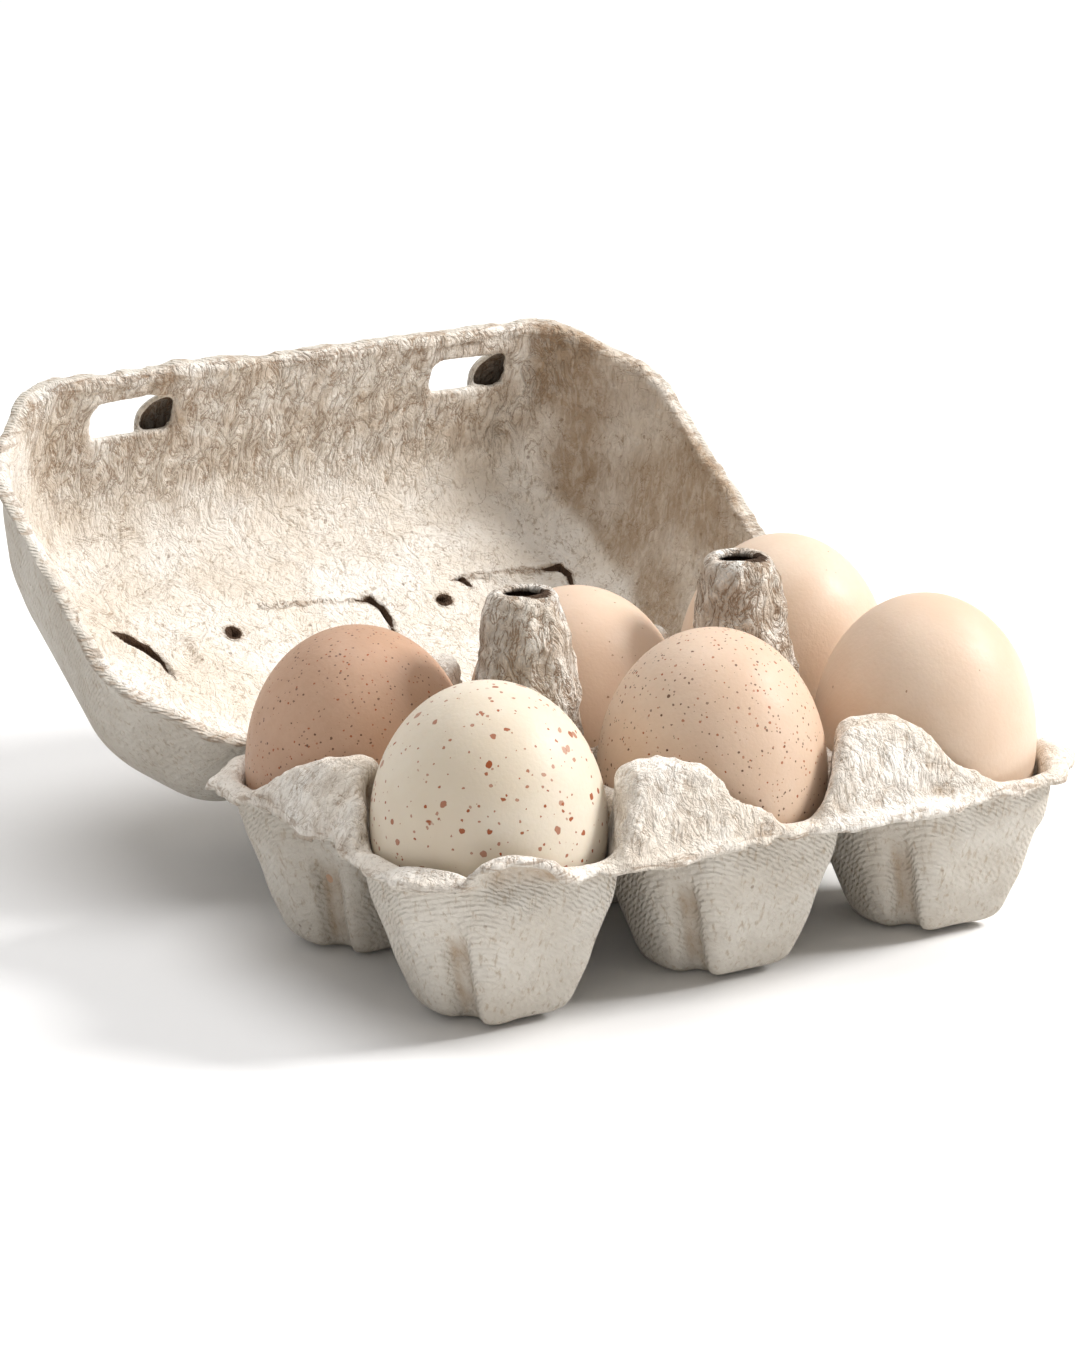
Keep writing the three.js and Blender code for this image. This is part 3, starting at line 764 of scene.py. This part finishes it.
# ---------------------------------------------------------------------------------------------
# The fold: the thin strip of pulp between tray and lid, pressed flat in the mould so that it
# bends. It is the same sheet as both, so it follows the tray on one edge and the lid on the other.
# ---------------------------------------------------------------------------------------------
FOLD_HALF, FOLD_THICK, FOLD_SAG = 57.5, 0.9, 0.9
fold_start = np.array([0.0, LIP["back"] - 0.6, RIM_TOP - 0.9])
lid_edge = np.array([0.0, LID_BACK - 0.4, LID_FOOT + 0.8])
a, b = hinge_line[1] - lid_edge[1], lid_edge[2] - hinge_line[2]
fold_end = np.array([
    0.0,
    hinge_line[1] - a * math.cos(OPEN_ANGLE) + b * math.sin(OPEN_ANGLE),
    hinge_line[2] + a * math.sin(OPEN_ANGLE) + b * math.cos(OPEN_ANGLE),
])
along_count, cross_count = 116, 9
fold_points, fold_faces = [], []
for i in range(along_count):
    fx = FOLD_HALF * (2 * i / (along_count - 1) - 1)
    for face in (1, -1):
        for j in range(cross_count):
            t = j / (cross_count - 1)
            place = fold_start + (fold_end - fold_start) * t
            lift = -FOLD_SAG * math.sin(math.pi * t) + face * FOLD_THICK / 2
            fold_points.append((fx, place[1], place[2] + lift))
ring = [*range(cross_count), *range(2 * cross_count - 1, cross_count - 1, -1)]
for i in range(along_count - 1):
    for j in range(len(ring)):
        p, q = ring[j], ring[(j + 1) % len(ring)]
        near, far = i * 2 * cross_count, (i + 1) * 2 * cross_count
        fold_faces.append((near + p, near + q, far + q, far + p))
for end in (0, along_count - 1):
    base = end * 2 * cross_count
    for j in range(cross_count - 1):
        corners = (base + j, base + j + 1, base + cross_count + j + 1, base + cross_count + j)
        fold_faces.append(corners if end == 0 else corners[::-1])
fold_points = np.array(fold_points)
fold_points[:, 2] += 0.12 * pulp_noise(fold_points, (3, 3, 30), 51)
fold_faces = np.array(fold_faces)
# The fold strip gets an even, light painted shade and stain.
fold = moulding("fold_strip", fold_points + tray_middle, fold_faces, inside=np.full(len(fold_points), 0.6),
                edge=np.full(len(fold_points), 0.3), crease=np.full(len(fold_points), 0.15),
                cavity=np.full(len(fold_points), 0.2))
fold.data.materials.append(pulp_finish)
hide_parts("hinge_crease")
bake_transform(fold)

# ---------------------------------------------------------------------------------------------
# The six hens' eggs: loose calcite shells standing blunt end up in the cups. The brown ones
# carry fine dark dots, the cream one larger rust blotches, and the other three are nearly plain.
# ---------------------------------------------------------------------------------------------
# name: shell colours (pale, deep), dots as (cells per metre, share of cells, radius, colour) rows
RUST, UMBER, COCOA = (0.33, 0.08, 0.02, 1), (0.12, 0.055, 0.03, 1), (0.30, 0.17, 0.10, 1)
EGGS = {
    "brown_speckled": ((0.55, 0.355, 0.245, 1), (0.46, 0.28, 0.18, 1),
                       [(900, 0.8, 0.15, UMBER), (940, 0.6, 0.15, RUST), (600, 0.2, 0.12, UMBER)]),
    "cream_blotched": ((0.74, 0.665, 0.55, 1), (0.68, 0.585, 0.455, 1),
                       [(210, 0.38, 0.15, RUST), (360, 0.6, 0.16, RUST), (760, 0.5, 0.18, RUST)]),
    "tan_speckled": ((0.69, 0.53, 0.405, 1), (0.62, 0.445, 0.32, 1),
                     [(860, 0.75, 0.15, UMBER), (820, 0.6, 0.16, RUST), (560, 0.2, 0.12, UMBER)]),
    "light_plain": ((0.715, 0.565, 0.44, 1), (0.66, 0.49, 0.36, 1), [(500, 0.06, 0.09, COCOA)]),
    "peach_plain": ((0.70, 0.54, 0.415, 1), (0.64, 0.465, 0.34, 1), [(620, 0.22, 0.11, COCOA)]),
    "pale_plain": ((0.715, 0.565, 0.44, 1), (0.66, 0.49, 0.36, 1), [(520, 0.12, 0.10, COCOA)]),
}
EGG_RINGS, EGG_SIDES = 72, 96
BLUNTNESS, UNEVENNESS = 0.05, 0.10


def eggshell(name, pale, deep, dots):
    """Matt shell with a faint sheen, pores, soft clouds of pigment and pigment dots."""
    shell = Nodes(name)
    cloud = shell.ramp(shell.noise(38, 4, 0.55), 0.32, 0.68)
    colour = shell.mix(cloud, pale, deep)
    mottle = shell.ramp(shell.noise(900, 3, 0.6), 0.35, 0.7, 0.0, 0.22)
    colour = shell.mix(mottle, colour, deep)
    for scale, share, radius, ink in dots:
        wobble = shell.add("ShaderNodeTexNoise")
        wobble.inputs["Scale"].default_value = scale * 2.2
        shell.join(shell.place, wobble.inputs["Vector"])
        moved = shell.add("ShaderNodeVectorMath", operation="MULTIPLY_ADD")
        shell.join(wobble.outputs["Color"], moved.inputs[0])
        moved.inputs[1].default_value = (0.35 / scale,) * 3
        shell.join(shell.place, moved.inputs[2])
        cell = shell.cells(scale, vector=moved.outputs[0])
        split = shell.add("ShaderNodeSeparateColor")
        shell.join(cell.outputs["Color"], split.inputs[0])
        size = shell.ramp(split.outputs[1], 0.0, 1.0, radius * 0.45, radius * 1.5)
        past_dot = shell.sum("SUBTRACT", cell.outputs["Distance"], size)
        inside_dot = shell.ramp(past_dot, -0.015, 0.02, 1.0, 0.0)
        chosen = shell.ramp(split.outputs[0], share - 0.01, share + 0.01, 1.0, 0.0)
        strength = shell.sum("MULTIPLY", inside_dot, chosen)
        strength = shell.sum("MULTIPLY", strength, shell.ramp(split.outputs[2], 0.0, 1.0, 0.65, 1.0))
        colour = shell.mix(strength, colour, ink)
    shell.join(colour, shell.shader.inputs["Base Color"])
    dimples = shell.sum("MULTIPLY", shell.noise(260, 3, 0.5), 0.8)
    pores = shell.sum("ADD", shell.noise(1300, 2, 0.5), dimples)
    shell.bump(pores, 0.22, 0.00025)
    shell.join(shell.ramp(shell.noise(300, 3), 0.3, 0.7, 0.46, 0.55), shell.shader.inputs["Roughness"])
    shell.shader.inputs["Specular IOR Level"].default_value = 0.36
    shell.shader.inputs["Subsurface Weight"].default_value = 0.12
    shell.shader.inputs["Subsurface Radius"].default_value = (0.004, 0.002, 0.001)
    shell.shader.inputs["Subsurface Scale"].default_value = 1.0
    return shell.material


def egg_mesh(name, seed):
    """An egg's surface turned inside its CAD box, with a slight unevenness of its own."""
    low, high = (np.array(corner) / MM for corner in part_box(f"egg_{name}"))
    centre, radius = (low + high) / 2, (high[0] - low[0]) / 2
    ring_points = []
    for i in range(1, EGG_RINGS):
        t = -math.cos(math.pi * i / EGG_RINGS)
        out = radius * math.sqrt(1 - t * t) * (1 + BLUNTNESS * t) / (1 + BLUNTNESS**2 / 2)
        height = low[2] + (t + 1) / 2 * (high[2] - low[2])
        for j in range(EGG_SIDES):
            angle = 2 * math.pi * j / EGG_SIDES
            x, y = centre[0] + out * math.cos(angle), centre[1] + out * math.sin(angle)
            ring_points.append((x, y, height))
    faces = []
    for i in range(EGG_RINGS - 2):
        for j in range(EGG_SIDES):
            k = (j + 1) % EGG_SIDES
            near, far = i * EGG_SIDES, (i + 1) * EGG_SIDES
            faces.append((near + j, near + k, far + k, far + j))
    foot, tip = len(ring_points), len(ring_points) + 1
    ring_points += [(centre[0], centre[1], low[2]), (centre[0], centre[1], high[2])]
    last = (EGG_RINGS - 2) * EGG_SIDES
    for j in range(EGG_SIDES):
        k = (j + 1) % EGG_SIDES
        faces += [(foot, k, j), (tip, last + j, last + k)]
    spots = np.array(ring_points)
    away = spots - centre
    away /= np.linalg.norm(away, axis=1, keepdims=True)
    spots += away * UNEVENNESS * pulp_noise(spots, (14, 14, 14), seed)[:, None]
    mesh = bpy.data.meshes.new(f"eggshell_{name}")
    mesh.from_pydata((spots * MM).tolist(), [], faces)
    mesh.shade_smooth()
    return mesh


for number, (name, (pale, deep, dots)) in enumerate(EGGS.items()):
    egg = bpy.data.objects.new(f"eggshell_{name}", egg_mesh(name, 61 + number))
    bpy.context.scene.collection.objects.link(egg)
    egg.data.materials.append(eggshell(f"shell_{name}", pale, deep, dots))
    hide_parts(f"egg_{name}")
    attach(egg, f"egg_body_{name}")
